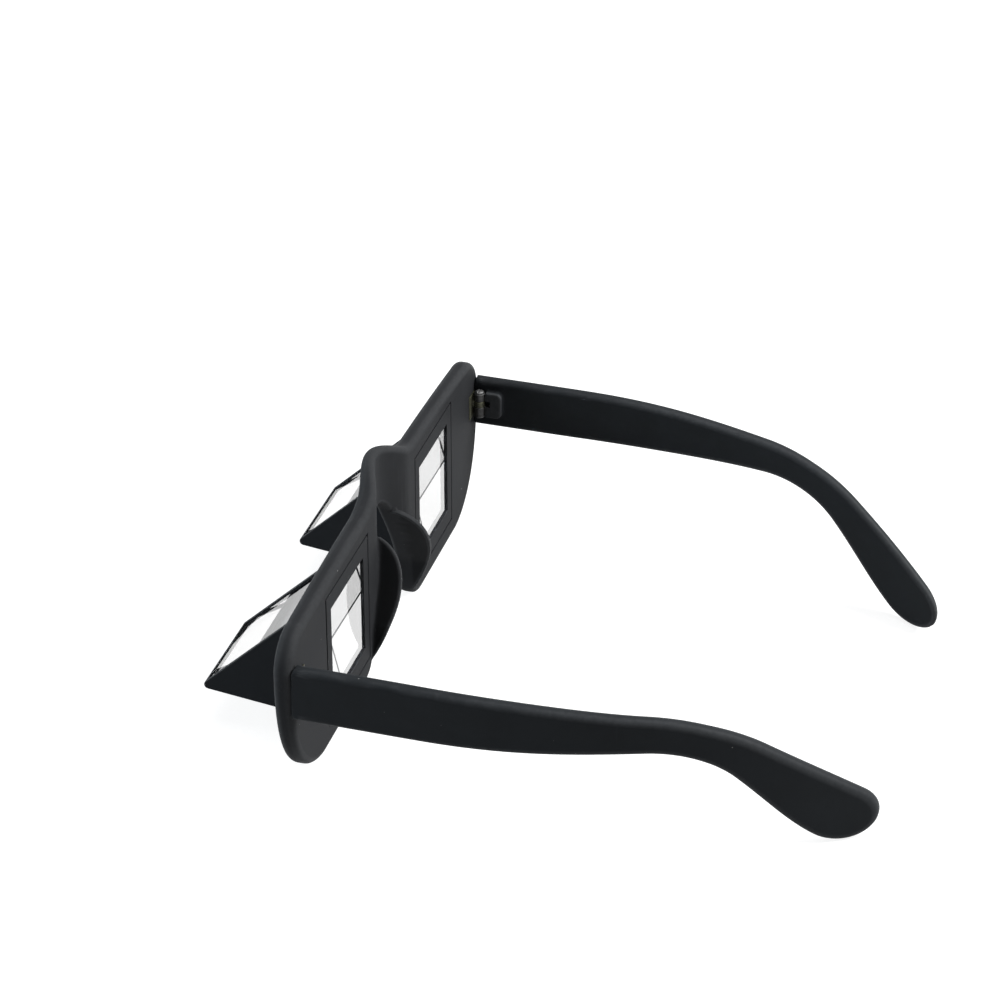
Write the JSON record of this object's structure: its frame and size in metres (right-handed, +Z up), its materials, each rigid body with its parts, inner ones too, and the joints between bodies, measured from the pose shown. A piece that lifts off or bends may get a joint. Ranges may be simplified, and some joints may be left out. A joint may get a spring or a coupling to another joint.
{
  "type": "belay glasses",
  "caption": "Prism spectacles that turn the wearer's view upwards: a moulded front with an arched bridge, wedge-shaped prism units and folding paddle-ended temples.",
  "frame": {"origin": "on the level surface that the glasses stand on, midway between their sides and midway between the prism tips and the temple ends", "axes": "+X to the wearer's left, +Y to the rear along the temples, +Z up; the front leans forward by 1.8 degrees because it stands on its lower rim and the temple ends"},
  "size_m": [0.152, 0.1637, 0.0521],
  "materials": {
    "frame_plastic": "fine satin moulded black, lighter worn sheen on its edges",
    "housing_plastic": "matte black",
    "prism_glass": "polished optical glass",
    "prism_mirror": "vapour-coated mirror",
    "bezel_plastic": "satin black",
    "frame_hinge_metal": "dull, stained nickel-brass",
    "temple_plastic": "satin black",
    "temple_hinge_metal": "dull, darkened nickel plating",
    "screw_steel": "dull steel with a worn head"
  },
  "bodies": {
    "front": {"front_frame": "frame_plastic", "left_prism_housing": "housing_plastic", "right_prism_housing": "housing_plastic", "left_prism": "prism_glass", "right_prism": "prism_glass", "left_prism_mirror": "prism_mirror", "right_prism_mirror": "prism_mirror", "left_eyepiece_bezel": "bezel_plastic", "right_eyepiece_bezel": "bezel_plastic", "left_frame_hinge": "frame_hinge_metal", "right_frame_hinge": "frame_hinge_metal"},
    "left_temple_arm": {"left_temple": "temple_plastic", "left_temple_hinge": "temple_hinge_metal", "left_hinge_screw": "screw_steel"},
    "right_temple_arm": {"right_temple": "temple_plastic", "right_temple_hinge": "temple_hinge_metal", "right_hinge_screw": "screw_steel"}
  },
  "joints": [
    {"name": "left_temple_fold", "type": "hinge", "parent": "front", "child": "left_temple_arm", "pos_m": [0.0705, -0.04818, 0.03024], "axis": [0, -0.0308, 0.9995], "range_deg": [0, 77]},
    {"name": "right_temple_fold", "type": "hinge", "parent": "front", "child": "right_temple_arm", "pos_m": [-0.0705, -0.04818, 0.03024], "axis": [0, 0.0308, -0.9995], "range_deg": [0, 70]}
  ]
}
